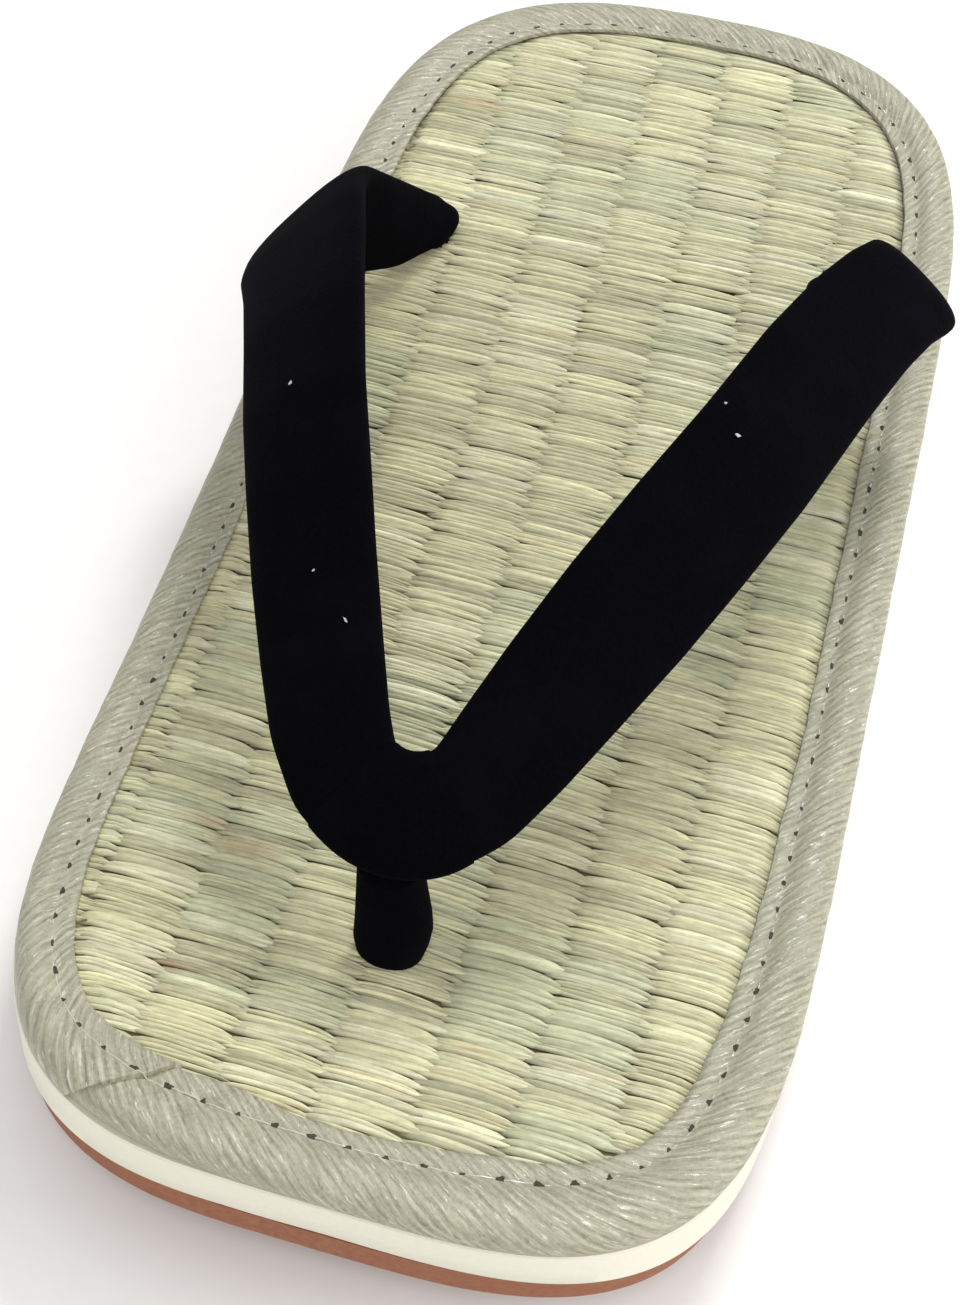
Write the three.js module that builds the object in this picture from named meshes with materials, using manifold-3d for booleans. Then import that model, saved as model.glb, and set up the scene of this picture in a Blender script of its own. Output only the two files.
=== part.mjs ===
import * as THREE from 'three';
import { mergeVertices } from 'three/addons/utils/BufferGeometryUtils.js';
import Module from 'manifold-3d';

const wasm = await Module();
wasm.setup();

// Zori sandal in millimetres: toe toward -Y, heel toward +Y, floor at z = 0.

// Fit between neighbouring pieces.
const GAP = 0.3;

// Plan: a rounded oblong, squarer at the toe, drawn along the line of stitches.
const STITCH_HALF_WIDTH = 45.5;
const STITCH_TO_EDGE = 6.4;
const TOE_EXTRA = 1.5;
const TOE_SLANT = { rise: 0.0675, fromY: -60, toY: -118 };
const PLAN_SPLIT_Y = 6.9;
const TOE_END = { length: 126.4, endPower: 8.5, sidePower: 3.4 };
const HEEL_END = { length: 113.5, endPower: 6.0, sidePower: 2.85 };
const PLAN_STEPS = 52;

// Side view: a dished deck over a sole that lies flat from the ball of the foot to the heel.
const DECK_LOW = 16.5;
const DECK_TOE_RISE = 10.8;
const DECK_HEEL_RISE = 2.75;
const FLAT_FROM_Y = -50;
const TOE_SPRING = 10.8;

// Layers. The binding stands a little above the mat it is folded round.
const BINDING_RISE = 1.2;
const RIM_DEPTH = 5;
const OUTSOLE_THICK = 4.8;

// Insets from the outer edge of the binding, level by level.
const OUTSOLE_ROWS = [
  { inset: 1.7, up: 0 },
  { inset: 1.2, up: 0.4 },
  { inset: 1.0, up: 1.0 },
  { inset: 0.9, up: OUTSOLE_THICK },
];
const MIDSOLE_INSET = { bottom: 1.0, top: 0.6 };

// Sections of the mat and of the binding, up measured from the top of the mat.
const MAT_ROWS = [
  { inset: 7.1, up: -3.8 },
  { inset: 7.1, up: -2.6 },
  { inset: 2.7, up: -2.6 },
  { inset: 1.9, up: -2.4 },
  { inset: 1.3, up: -1.9 },
  { inset: 1.2, up: -1.4 },
  { inset: 1.2, up: -0.9 },
  { inset: 1.4, up: -0.5 },
  { inset: 1.9, up: -0.1 },
  { inset: 2.7, up: 0 },
];
const BINDING_ROWS = [
  { inset: 6.8, up: -3.8 },
  { inset: 2.2, up: -3.8 },
  { inset: 1.1, up: -3.5 },
  { inset: 0.3, up: -2.7 },
  { inset: 0, up: -1.7 },
  { inset: 0, up: -0.8 },
  { inset: 0.3, up: 0.2 },
  { inset: 1.1, up: 0.9 },
  { inset: 2.4, up: BINDING_RISE },
  { inset: 8.6, up: BINDING_RISE },
  { inset: 8.6, up: GAP },
  { inset: 2.7, up: GAP },
  { inset: 1.8, up: 0.15 },
  { inset: 1.1, up: -0.35 },
  { inset: 0.9, up: -0.9 },
  { inset: 0.9, up: -1.45 },
  { inset: 1.05, up: -2.1 },
  { inset: 1.8, up: -2.7 },
  { inset: 2.7, up: -2.9 },
  { inset: 6.8, up: -2.9 },
];

// Straps, a row a section from the left opening over the joint to the right opening.
// inner and outer are the two edges of the band; heights are above the deck line.
const STRAP_ROWS = [
  { inner: [-31.4, 61.6, -3.6], outer: [-33.0, 54.2, -3.6], thick: 4.2 },
  { inner: [-31.4, 61.6, 0.4], outer: [-33.0, 54.2, 0.4], thick: 4.2 },
  { inner: [-32.2, 58.8, 5.8], outer: [-36.0, 44.2, 2.2], thick: 4.6 },
  { inner: [-35.6, 47.6, 17], outer: [-44.2, 30.6, 9.6], thick: 4.8 },
  { inner: [-38.6, 38.0, 26.5], outer: [-51.9, 23.4, 15.2], thick: 5.4 },
  { inner: [-38.6, 33.4, 29], outer: [-52.4, 18.6, 17.2], thick: 5.6 },
  { inner: [-36.4, 25.0, 32.8], outer: [-51.4, 12.6, 20.2], thick: 5 },
  { inner: [-33.4, 13.9, 36.1], outer: [-48.6, 4.8, 23.5], thick: 4.8 },
  { inner: [-29.3, -1.9, 39.1], outer: [-44.5, -8.7, 27.7], thick: 4.8 },
  { inner: [-24.0, -21.2, 40.4], outer: [-39.4, -26.1, 30], thick: 4.8 },
  { inner: [-19.2, -35.9, 38.3], outer: [-34.9, -39.8, 29.2], thick: 4.8 },
  { inner: [-14.9, -49.1, 35.2], outer: [-30.1, -53.5, 27.1], thick: 4.8 },
  { inner: [-10.7, -61.2, 31.6], outer: [-25.5, -65.3, 24.9], thick: 4.8 },
  { inner: [-7.4, -70.6, 28.8], outer: [-21.2, -75.4, 22.4], thick: 4.8 },
  { inner: [-5.4, -75.2, 27.2], outer: [-15.6, -83.9, 19.4], thick: 4.8 },
  { inner: [-4.2, -76.2, 27], outer: [-8.4, -88.7, 18], thick: 4.8 },
  { inner: [-2.8, -76.4, 27], outer: [-2.0, -90.0, 17.6], thick: 4.8 },
  { inner: [-1.5, -76.1, 27], outer: [4.4, -88.1, 18], thick: 4.8 },
  { inner: [-0.2, -74.8, 27.2], outer: [11.0, -81.8, 19.8], thick: 4.8 },
  { inner: [1.6, -69.0, 29], outer: [15.8, -73.6, 22.7], thick: 4.8 },
  { inner: [5.2, -58.6, 32.5], outer: [20.4, -64.0, 25.3], thick: 4.8 },
  { inner: [10.1, -45.0, 36.1], outer: [26.4, -50.2, 27.6], thick: 4.8 },
  { inner: [15.7, -30.8, 39.2], outer: [31.9, -35.9, 29.5], thick: 4.8 },
  { inner: [21.6, -14.4, 40.4], outer: [37.3, -19.6, 29.9], thick: 4.8 },
  { inner: [27.2, 6.7, 38.4], outer: [43.1, 1.8, 28.9], thick: 4.8 },
  { inner: [31.9, 23.1, 35], outer: [47.0, 16.7, 26.2], thick: 4.8 },
  { inner: [35.4, 33.0, 32.2], outer: [50.0, 26.6, 23.6], thick: 5 },
  { inner: [37.6, 38.6, 29.8], outer: [52.5, 32.6, 21.4], thick: 5.6 },
  { inner: [37.8, 42.2, 27], outer: [52.4, 36.2, 18.8], thick: 5.4 },
  { inner: [35.2, 49.0, 17], outer: [45.2, 39.0, 12.6], thick: 4.8 },
  { inner: [32.2, 58.8, 5.8], outer: [36.2, 46.2, 2.6], thick: 4.6 },
  { inner: [31.4, 61.6, 0.4], outer: [33.0, 54.2, 0.4], thick: 4.2 },
  { inner: [31.4, 61.6, -3.6], outer: [33.0, 54.2, -3.6], thick: 4.2 },
];
const STRAP_SIDES = 16;
const PAD_POWER = 2.6;

// Front post, a flat-sided oval standing in its own opening.
const POST_X = -1.9;
const POST_Y = -87;
const POST_ROWS = [
  { up: -3.6, width: 7.4, depth: 5.8 },
  { up: 0.4, width: 8.2, depth: 6.6 },
  { up: 3, width: 9.4, depth: 7.6 },
  { up: 9, width: 9.8, depth: 8 },
];
const POST_TOP = { width: 9, depth: 7 };
const POST_SIDES = 28;

// Deck line: the top of the binding at a distance y along the sandal.
function deckLine(y) {
  const toe = Math.max(0, PLAN_SPLIT_Y - y) / (TOE_END.length + STITCH_TO_EDGE);
  const heel = Math.max(0, y - PLAN_SPLIT_Y) / (HEEL_END.length + STITCH_TO_EDGE);
  return DECK_LOW + DECK_TOE_RISE * toe * toe + DECK_HEEL_RISE * heel * heel;
}

const matTop = (y) => deckLine(y) - BINDING_RISE;

// Underside of the sole.
function floorLine(y) {
  const reach = TOE_END.length + STITCH_TO_EDGE - PLAN_SPLIT_Y + FLAT_FROM_Y;
  const along = Math.max(0, FLAT_FROM_Y - y) / reach;
  return TOE_SPRING * along * along;
}

// Right half of the stitch line from the toe to the heel, evenly spaced.
function stitchLine() {
  const fine = 4000;
  const raw = [];
  for (let i = 0; i <= fine; i += 1) {
    const turn = Math.PI * (i / fine) - Math.PI / 2;
    const end = turn < 0 ? TOE_END : HEEL_END;
    const c = Math.cos(turn);
    const s = Math.sin(turn);
    const y = Math.sign(s) * end.length * Math.pow(Math.abs(s), 0.5);
    const rest = Math.max(0, 1 - Math.pow(Math.abs(y) / end.length, end.endPower));
    const x = STITCH_HALF_WIDTH * Math.pow(rest, 1 / end.sidePower);
    raw.push(new THREE.Vector2(c <= 1e-9 ? 0 : x, y + PLAN_SPLIT_Y));
  }
  const path = [0];
  for (let i = 1; i <= fine; i += 1) {
    path.push(path[i - 1] + raw[i].distanceTo(raw[i - 1]));
  }
  const points = [];
  let k = 0;
  for (let j = 0; j <= PLAN_STEPS; j += 1) {
    const want = (path[fine] * j) / PLAN_STEPS;
    while (k < fine - 1 && path[k + 1] < want) {
      k += 1;
    }
    const t = (want - path[k]) / (path[k + 1] - path[k]);
    points.push(raw[k].clone().lerp(raw[k + 1], t));
  }
  points[0].x = 0;
  points[PLAN_STEPS].x = 0;
  return points;
}

const STITCH = stitchLine();

// The toe end is cut a little aslant: how far a point of the plan moves toward the toe.
function slant(x, y) {
  const t = THREE.MathUtils.smoothstep(-y, -TOE_SLANT.fromY, -TOE_SLANT.toY);
  return TOE_SLANT.rise * x * t;
}

// Right half of the outline set in from the outer edge, then the whole ring, toe first.
// The edge stands out further from the stitches where it faces the toe.
function ring(inset) {
  const push = STITCH_TO_EDGE - inset;
  const extra = TOE_EXTRA * Math.min(1, Math.max(0, push / STITCH_TO_EDGE));
  const half = STITCH.map((p, i) => {
    if (i === 0) {
      return new THREE.Vector2(0, p.y - push - extra);
    }
    if (i === PLAN_STEPS) {
      return new THREE.Vector2(0, p.y + push);
    }
    const along = STITCH[i + 1].clone().sub(STITCH[i - 1]).normalize();
    const reach = push + extra * Math.max(0, along.x) ** 2;
    return new THREE.Vector2(p.x + reach * along.y, p.y - reach * along.x);
  });
  const left = half.slice(1, PLAN_STEPS).reverse().map((p) => new THREE.Vector2(-p.x, p.y));
  return half.concat(left).map((p) => new THREE.Vector2(p.x, p.y - slant(p.x, p.y)));
}

function toGeometry(points, index) {
  const geometry = new THREE.BufferGeometry();
  const flat = points.flatMap((p) => [p.x, p.y, p.z]);
  geometry.setAttribute('position', new THREE.Float32BufferAttribute(flat, 3));
  geometry.setIndex(index);
  return geometry;
}

// Rings of equal length joined side to side; closed joins the last ring to the first.
function joinRings(rings, closed) {
  const n = rings[0].length;
  const index = [];
  const last = closed ? rings.length : rings.length - 1;
  for (let k = 0; k < last; k += 1) {
    const a = k * n;
    const b = ((k + 1) % rings.length) * n;
    for (let i = 0; i < n; i += 1) {
      const j = (i + 1) % n;
      index.push(a + i, a + j, b + j);
      index.push(a + i, b + j, b + i);
    }
  }
  return index;
}

// A cap across a plan ring, straight from side to side so that it follows the side view.
function acrossCap(first, n, up) {
  const index = [];
  const right = (i) => first + i;
  const left = (i) => first + ((n - i) % n);
  for (let i = 0; i < n / 2; i += 1) {
    const tris = [];
    if (i > 0) {
      tris.push([right(i), right(i + 1), left(i)]);
    }
    if (i < n / 2 - 1) {
      tris.push([right(i + 1), left(i + 1), i > 0 ? left(i) : right(0)]);
    }
    tris.forEach((t) => index.push(...(up ? t : [t[0], t[2], t[1]])));
  }
  return index;
}

// A sole layer: rings from the bottom row to the top row with caps.
function layer(rows) {
  const rings = rows.map((row) => ring(row.inset).map((p) => new THREE.Vector3(p.x, p.y, row.level(p.y))));
  const n = rings[0].length;
  const index = joinRings(rings, false);
  index.push(...acrossCap(0, n, false));
  index.push(...acrossCap((rings.length - 1) * n, n, true));
  return toGeometry(rings.flat(), index);
}

// A loop of sections with flat fans at both ends.
function loft(rings) {
  const n = rings[0].length;
  const index = joinRings(rings, false);
  const points = rings.flat();
  const ends = [0, rings.length - 1];
  ends.forEach((k) => {
    const centre = new THREE.Vector3();
    rings[k].forEach((p) => centre.addScaledVector(p, 1 / n));
    const c = points.length;
    points.push(centre);
    for (let i = 0; i < n; i += 1) {
      const a = k * n + i;
      const b = k * n + ((i + 1) % n);
      index.push(...(k === 0 ? [c, b, a] : [c, a, b]));
    }
  });
  return toGeometry(points, index);
}

function toManifold(geometry) {
  const bare = geometry.clone();
  bare.deleteAttribute('normal');
  bare.deleteAttribute('uv');
  const merged = mergeVertices(bare, 1e-4);
  const mesh = new wasm.Mesh({
    numProp: 3,
    vertProperties: new Float32Array(merged.getAttribute('position').array),
    triVerts: new Uint32Array(merged.getIndex().array),
  });
  return new wasm.Manifold(mesh);
}

function fromManifold(solid) {
  const mesh = solid.getMesh();
  const geometry = new THREE.BufferGeometry();
  geometry.setAttribute('position', new THREE.BufferAttribute(new Float32Array(mesh.vertProperties), 3));
  geometry.setIndex(new THREE.BufferAttribute(new Uint32Array(mesh.triVerts), 1));
  return geometry;
}

// A rounded pad section on its own axes.
function padSection(centre, wide, thin, sides, power) {
  const points = [];
  for (let i = 0; i < sides; i += 1) {
    const turn = (2 * Math.PI * (i + 0.5)) / sides;
    const c = Math.cos(turn);
    const s = Math.sin(turn);
    const u = Math.sign(c) * Math.pow(Math.abs(c), 2 / power);
    const v = Math.sign(s) * Math.pow(Math.abs(s), 2 / power);
    points.push(centre.clone().addScaledVector(wide, u).addScaledVector(thin, v));
  }
  return points;
}

const place = (edge) => new THREE.Vector3(edge[0], edge[1], deckLine(edge[1]) + edge[2]);

// Sections of the straps; each is square to the run of the band at its middle.
function strapSections(grow) {
  const inner = STRAP_ROWS.map((row) => place(row.inner));
  const outer = STRAP_ROWS.map((row) => place(row.outer));
  const middle = inner.map((p, i) => p.clone().add(outer[i]).multiplyScalar(0.5));
  return STRAP_ROWS.map((row, i) => {
    const before = middle[Math.max(0, i - 1)];
    const after = middle[Math.min(STRAP_ROWS.length - 1, i + 1)];
    const run = after.clone().sub(before).normalize();
    const wide = outer[i].clone().sub(inner[i]).multiplyScalar(0.5);
    const thin = new THREE.Vector3().crossVectors(run, wide).normalize();
    const reach = wide.length() + grow;
    return padSection(
      middle[i],
      wide.setLength(reach),
      thin.multiplyScalar(row.thick / 2 + grow),
      STRAP_SIDES,
      PAD_POWER,
    );
  });
}

// An upright opening with the plan of a section, taken well through the mat.
function opening(section) {
  const low = section.map((p) => new THREE.Vector3(p.x, p.y, p.z - 6));
  const high = section.map((p) => new THREE.Vector3(p.x, p.y, p.z + 12));
  const geometry = loft([low, high]);
  const solid = toManifold(geometry);
  return solid.volume() > 0 ? solid : toManifold(loft([low.reverse(), high.reverse()]));
}

// Sections of the post; the top one lies along the middle of the strap joint over it.
function postSections(grow) {
  const rows = POST_ROWS.map((row) => {
    const centre = new THREE.Vector3(POST_X, POST_Y, deckLine(POST_Y) + row.up);
    const wide = new THREE.Vector3(row.width / 2 + grow, 0, 0);
    const deep = new THREE.Vector3(0, row.depth / 2 + grow, 0);
    return padSection(centre, wide, deep, POST_SIDES, PAD_POWER);
  });
  const joint = STRAP_ROWS.reduce((a, b) => (b.outer[1] < a.outer[1] ? b : a));
  const inner = place(joint.inner);
  const outer = place(joint.outer);
  const slope = (inner.z - outer.z) / (inner.y - outer.y);
  const top = new THREE.Vector3(POST_X, POST_Y, outer.z + slope * (POST_Y - outer.y));
  const wide = new THREE.Vector3(POST_TOP.width / 2, 0, 0);
  const deep = new THREE.Vector3(0, POST_TOP.depth / 2, (slope * POST_TOP.depth) / 2);
  rows.push(padSection(top, wide, deep, POST_SIDES, PAD_POWER));
  return rows;
}

const outsole = layer(OUTSOLE_ROWS.map((row) => ({
  inset: row.inset,
  level: (y) => floorLine(y) + row.up,
})));

const midsole = layer([
  { inset: MIDSOLE_INSET.bottom, level: (y) => floorLine(y) + OUTSOLE_THICK + GAP },
  { inset: MIDSOLE_INSET.top, level: (y) => deckLine(y) - RIM_DEPTH - GAP },
]);

const matBlank = toManifold(layer(MAT_ROWS.map((row) => ({
  inset: row.inset,
  level: (y) => matTop(y) + row.up,
}))));
const grownStrap = strapSections(GAP);
const openings = [grownStrap[0], grownStrap[grownStrap.length - 1], postSections(GAP)[1]];
const mat = fromManifold(openings.reduce((solid, section) => solid.subtract(opening(section)), matBlank));

const bindingRings = BINDING_ROWS.map((row) => (
  ring(row.inset).map((p) => new THREE.Vector3(p.x, p.y, matTop(p.y) + row.up))
));
const binding = toGeometry(bindingRings.flat(), joinRings(bindingRings, true));

const straps = loft(strapSections(0));
const post = fromManifold(toManifold(loft(postSections(0))).subtract(toManifold(loft(grownStrap))));

const group = new THREE.Group();
group.name = 'zori_sandal';

function piece(name, geometry, colour, roughness) {
  const solid = geometry.toNonIndexed();
  solid.computeVertexNormals();
  const material = new THREE.MeshStandardMaterial({ color: colour, roughness });
  material.name = name;
  const mesh = new THREE.Mesh(solid, material);
  mesh.name = name;
  group.add(mesh);
}

piece('outsole', outsole, 0x8a4a30, 0.8);
piece('midsole', midsole, 0xf0efe9, 0.6);
piece('rush_mat', mat, 0xcfc58c, 0.7);
piece('edge_binding', binding, 0x80857a, 0.6);
piece('straps', straps, 0x101014, 0.95);
piece('front_post', post, 0x101014, 0.95);

export default group;
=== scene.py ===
# %% [markdown]
# # A zori sandal, layer by layer
# A zori is a flat sandal: a woven rush mat with a cloth tape sewn round its edge, glued to a foam
# midsole and a rubber outsole, and held to the foot by padded velvet straps that meet in a post
# between the toes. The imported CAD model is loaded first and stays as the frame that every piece
# is fitted to. Toe is toward -Y, heel toward +Y, and the floor is z = 0.

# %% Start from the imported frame
import math

import bpy
import numpy as np
from mathutils import Matrix, Vector
from mathutils.bvhtree import BVHTree
from mathutils.kdtree import KDTree


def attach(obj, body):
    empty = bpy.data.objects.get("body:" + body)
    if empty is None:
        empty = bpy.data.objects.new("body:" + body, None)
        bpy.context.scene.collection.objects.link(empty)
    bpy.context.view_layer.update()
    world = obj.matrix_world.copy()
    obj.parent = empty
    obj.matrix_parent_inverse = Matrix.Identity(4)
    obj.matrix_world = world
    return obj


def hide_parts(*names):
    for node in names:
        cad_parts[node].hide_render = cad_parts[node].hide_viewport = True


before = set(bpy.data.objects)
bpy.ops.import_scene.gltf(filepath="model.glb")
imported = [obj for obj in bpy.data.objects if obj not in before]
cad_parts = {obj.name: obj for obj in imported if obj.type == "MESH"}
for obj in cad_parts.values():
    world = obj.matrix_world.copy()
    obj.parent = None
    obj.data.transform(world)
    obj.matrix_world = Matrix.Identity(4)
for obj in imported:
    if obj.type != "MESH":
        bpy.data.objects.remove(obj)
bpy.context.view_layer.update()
rng = np.random.default_rng(11)
MM = 0.001
print("CAD nodes:", sorted(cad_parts))

# %% [markdown]
# Three small helpers do for the whole lesson. Paint charts give colours as sRGB hex values, but
# Blender's shaders work in linear light, so one function turns one into the other. One function
# adds a node with its settings and its links. One function makes a mesh piece from points in
# millimetres and lets it ride on the only body of the sandal.


# %% Helpers for colour, nodes and meshes
def linear(code):
    """sRGB hex to linear RGBA."""
    parts = [int(code[i : i + 2], 16) / 255 for i in (1, 3, 5)]
    return tuple(c / 12.92 if c <= 0.04045 else ((c + 0.055) / 1.055) ** 2.4 for c in parts) + (1.0,)


def add(tree, kind, inputs=None, **settings):
    """A node of that kind, its settings made and its inputs given values or links."""
    made = tree.nodes.new("ShaderNode" + kind)
    for name, value in settings.items():
        setattr(made, name, value)
    for key, value in (inputs or {}).items():
        if isinstance(value, bpy.types.NodeSocket):
            tree.links.new(value, made.inputs[key])
        else:
            made.inputs[key].default_value = value
    return made


def new_finish(name):
    """An empty material and its node tree."""
    finish = bpy.data.materials.new(name)
    finish.use_nodes = True
    finish.node_tree.nodes.clear()
    return finish, finish.node_tree


def build(name, points, faces, finish, sharp=40):
    """One mesh piece from points in millimetres, riding on the sandal."""
    mesh = bpy.data.meshes.new(name)
    mesh.from_pydata((np.asarray(points, float) * MM).tolist(), [], faces)
    mesh.polygons.foreach_set("use_smooth", np.ones(len(mesh.polygons), bool))
    mesh.set_sharp_from_angle(angle=math.radians(sharp))
    mesh.materials.append(finish)
    piece = bpy.data.objects.new(name, mesh)
    bpy.context.scene.collection.objects.link(piece)
    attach(piece, "root")
    mesh.calc_loop_triangles()
    print(f"{name}: {len(mesh.loop_triangles)} triangles")
    return piece


def grid(rows, columns, round_rows=False, round_columns=False, first=0):
    """Quads over a table of points; either way can close on itself."""
    r = np.arange(rows if round_rows else rows - 1)[:, None]
    c = np.arange(columns if round_columns else columns - 1)[None, :]
    r2, c2 = (r + 1) % rows, (c + 1) % columns
    quads = np.stack([r * columns + c, r * columns + c2, r2 * columns + c2, r2 * columns + c], -1)
    return (quads.reshape(-1, 4) + first).tolist()


def ease(low, high, value):
    """0 before low, 1 after high, smooth between."""
    t = np.clip((np.asarray(value, float) - low) / (high - low), 0, 1)
    return t * t * (3 - 2 * t)


# %% [markdown]
# Every layer has the same plan: a rounded oblong, squarer at the toe, drawn along the line of
# stitches. It could be traced with a curve object, but a formula gives exact insets for the tape,
# the soles and the stitches alike. Where the edge faces the toe, it stands out further from the
# stitches, and the whole toe end is cut a few degrees aslant. The side view is a dished deck over
# a sole that lies flat from the ball of the foot back and springs up at the toe.

# %% The plan and the side view
STITCH_HALF_WIDTH = 45.5
STITCH_TO_EDGE = 6.4
TOE_EXTRA = 1.5
TOE_SLANT = {"rise": 0.0675, "from_y": -60, "to_y": -118}
SPLIT_Y = 6.9
TOE = {"reach": 126.4, "end": 8.5, "side": 3.4}
HEEL = {"reach": 113.5, "end": 6.0, "side": 2.85}
DECK_LOW, TOE_RISE, HEEL_RISE = 16.5, 10.8, 2.75
FLAT_FROM_Y, TOE_SPRING = -50.0, 10.8
BINDING_RISE = 1.2


def deck(y):
    """Level of the top of the tape along the sandal."""
    toe = np.maximum(0, SPLIT_Y - np.asarray(y)) / (TOE["reach"] + STITCH_TO_EDGE)
    heel = np.maximum(0, np.asarray(y) - SPLIT_Y) / (HEEL["reach"] + STITCH_TO_EDGE)
    return DECK_LOW + TOE_RISE * toe**2 + HEEL_RISE * heel**2


def mat_top(y):
    """Level of the mat, a little under the tape."""
    return deck(y) - BINDING_RISE


def underside(y):
    """Level of the bottom of the outsole, flat but for the toe."""
    reach = TOE["reach"] + STITCH_TO_EDGE - SPLIT_Y + FLAT_FROM_Y
    return TOE_SPRING * (np.maximum(0, FLAT_FROM_Y - np.asarray(y)) / reach) ** 2


def stitch_ring(steps):
    """The whole stitch line, evenly spaced, from the toe round by the right side, then back."""
    turn = np.linspace(-math.pi / 2, math.pi / 2, 8001)
    end = [np.where(turn < 0, TOE[k], HEEL[k]) for k in ("reach", "end", "side")]
    y = np.sign(np.sin(turn)) * end[0] * np.sqrt(np.abs(np.sin(turn)))
    x = STITCH_HALF_WIDTH * np.maximum(0, 1 - (np.abs(y) / end[0]) ** end[1]) ** (1 / end[2])
    path = np.concatenate([[0], np.cumsum(np.hypot(np.diff(x), np.diff(y)))])
    want = np.linspace(0, path[-1], steps + 1)
    right = np.stack([np.interp(want, path, x), np.interp(want, path, y) + SPLIT_Y], 1)
    right[[0, -1], 0] = 0
    left = right[-2::-1] * [-1, 1]
    return np.concatenate([right, left]), np.linspace(0, 2 * path[-1], 2 * steps + 1)


RING, ARC = stitch_ring(400)
ROUND = float(ARC[-1])
tangent = np.roll(RING[:-1], -1, 0) - np.roll(RING[:-1], 1, 0)
tangent = np.concatenate([tangent, tangent[:1]])
tangent /= np.linalg.norm(tangent, axis=1)[:, None]
OUTWARD = np.stack([tangent[:, 1], -tangent[:, 0]], 1)


def slant(x, y):
    """How far a point of the plan moves toward the toe, because the toe is cut a little aslant."""
    return TOE_SLANT["rise"] * x * ease(-TOE_SLANT["from_y"], -TOE_SLANT["to_y"], -np.asarray(y))


def on_plan(along, inset):
    """Plan points at a distance along the stitch line, set in from the outer edge."""
    along, inset = np.broadcast_arrays(np.mod(along, ROUND), inset)
    at = [np.interp(along, ARC, RING[:, i]) for i in (0, 1)]
    out = [np.interp(along, ARC, OUTWARD[:, i]) for i in (0, 1)]
    push = STITCH_TO_EDGE - inset
    extra = TOE_EXTRA * np.clip(push / STITCH_TO_EDGE, 0, 1)
    push = push + extra * np.maximum(0, -out[1]) ** 2
    x, y = at[0] + out[0] * push, at[1] + out[1] * push
    return x, y - slant(x, y)


def round_plan(along, table):
    """A table of turns and sizes read at a distance along the stitch line."""
    x, y = on_plan(along, STITCH_TO_EDGE)
    turn = np.degrees(np.arctan2(x / STITCH_HALF_WIDTH, -(y - SPLIT_Y) / 120)) % 360
    return np.interp(turn, [row[0] for row in table], [row[1] for row in table])


print(f"stitch line {ROUND:.0f} mm round")

# %% [markdown]
# The outsole is a sheet of brown rubber, cut to the outline and buffed. Sheet rubber is matt, with
# a fine speckle from the buffing, and its lower edge is worn a little round and darker. Noise gives
# the speckle, and a second, slow noise the uneven tone of handling.

# %% Buffed sheet rubber
rubber, tree = new_finish("rubber_sheet_cut_and_buffed")
place = add(tree, "TexCoord").outputs["Object"]
grit = add(tree, "TexNoise", {"Vector": place, "Scale": 1 / (0.9 * MM), "Detail": 3})
smear = add(tree, "TexNoise", {"Vector": place, "Scale": 1 / (22 * MM), "Detail": 2})
tone = add(
    tree, "Mix", {"Factor": grit.outputs["Fac"], "A": linear("#562d1c"), "B": linear("#b67958")},
    data_type="RGBA",
)
tone2 = add(
    tree, "Mix", {"Factor": smear.outputs["Fac"], "A": tone.outputs["Result"], "B": linear("#8f583b")},
    data_type="RGBA",
)
bump = add(tree, "Bump", {"Height": grit.outputs["Fac"], "Strength": 0.35, "Distance": 0.25 * MM})
shader = add(
    tree, "BsdfPrincipled",
    {"Base Color": tone2.outputs["Result"], "Roughness": 0.78, "IOR": 1.52, "Normal": bump.outputs[0]},
)
add(tree, "OutputMaterial", {"Surface": shader.outputs[0]})
print("finish:", rubber.name)


# %% [markdown]
# A sole layer is a stack of outlines, each set in by its own amount, closed above and below by
# strips straight across, so that the flat faces follow the side view exactly. A bevelled extrusion
# would not bend with the toe spring. The layers are cut and glued by hand, and a small table lets
# each stray from the others by up to about a millimetre at the corners of the toe.


# %% The outsole
def layer(name, rows, finish, stray=((0, 0.0), (360, 0.0)), along=ARC[:-1]):
    """Outlines stacked from the bottom row to the top row; a row is an inset and a level."""
    rings = []
    for inset, level in rows:
        x, y = on_plan(along, inset - round_plan(along, stray))
        rings.append(np.stack([x, y, level(y)], 1))
    n = len(along)
    faces = grid(len(rows), n, round_columns=True)
    for top, first in ((False, 0), (True, (len(rows) - 1) * n)):
        for i in range(n // 2):
            strip = [first + i, first + i + 1, first + (n - i - 1) % n, first + (n - i) % n]
            strip = list(dict.fromkeys(strip))
            faces.append(strip if top else strip[::-1])
    return build(name, np.concatenate(rings), faces, finish)


OUTSOLE_STRAY = (  # turn round the plan in degrees from the toe, by the right; how far it stands out
    (0, 0.0), (18, -0.1), (45, -0.8), (75, -0.9), (110, 0.0), (270, 0.0), (300, 0.3), (318, 0.4),
    (335, 0.3), (350, 0.0), (360, 0.0),
)
OUTSOLE_ROWS = ((1.8, 0), (1.45, 0.1), (1.2, 0.4), (1.05, 0.9), (0.98, 1.6), (0.93, 3.2), (0.9, 4.8))
outsole = layer(
    "outsole_sheet",
    [(inset, lambda y, up=up: underside(y) + up) for inset, up in OUTSOLE_ROWS],
    rubber,
    OUTSOLE_STRAY,
)
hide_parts("outsole")

# %% [markdown]
# The midsole is white closed-cell foam. Its side is a cut face: satin, very slightly cream, with
# the tiny pits of opened cells. Cells are about 0.3 mm, too fine for this picture, so the noise is
# drawn at about 0.8 mm.

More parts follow.
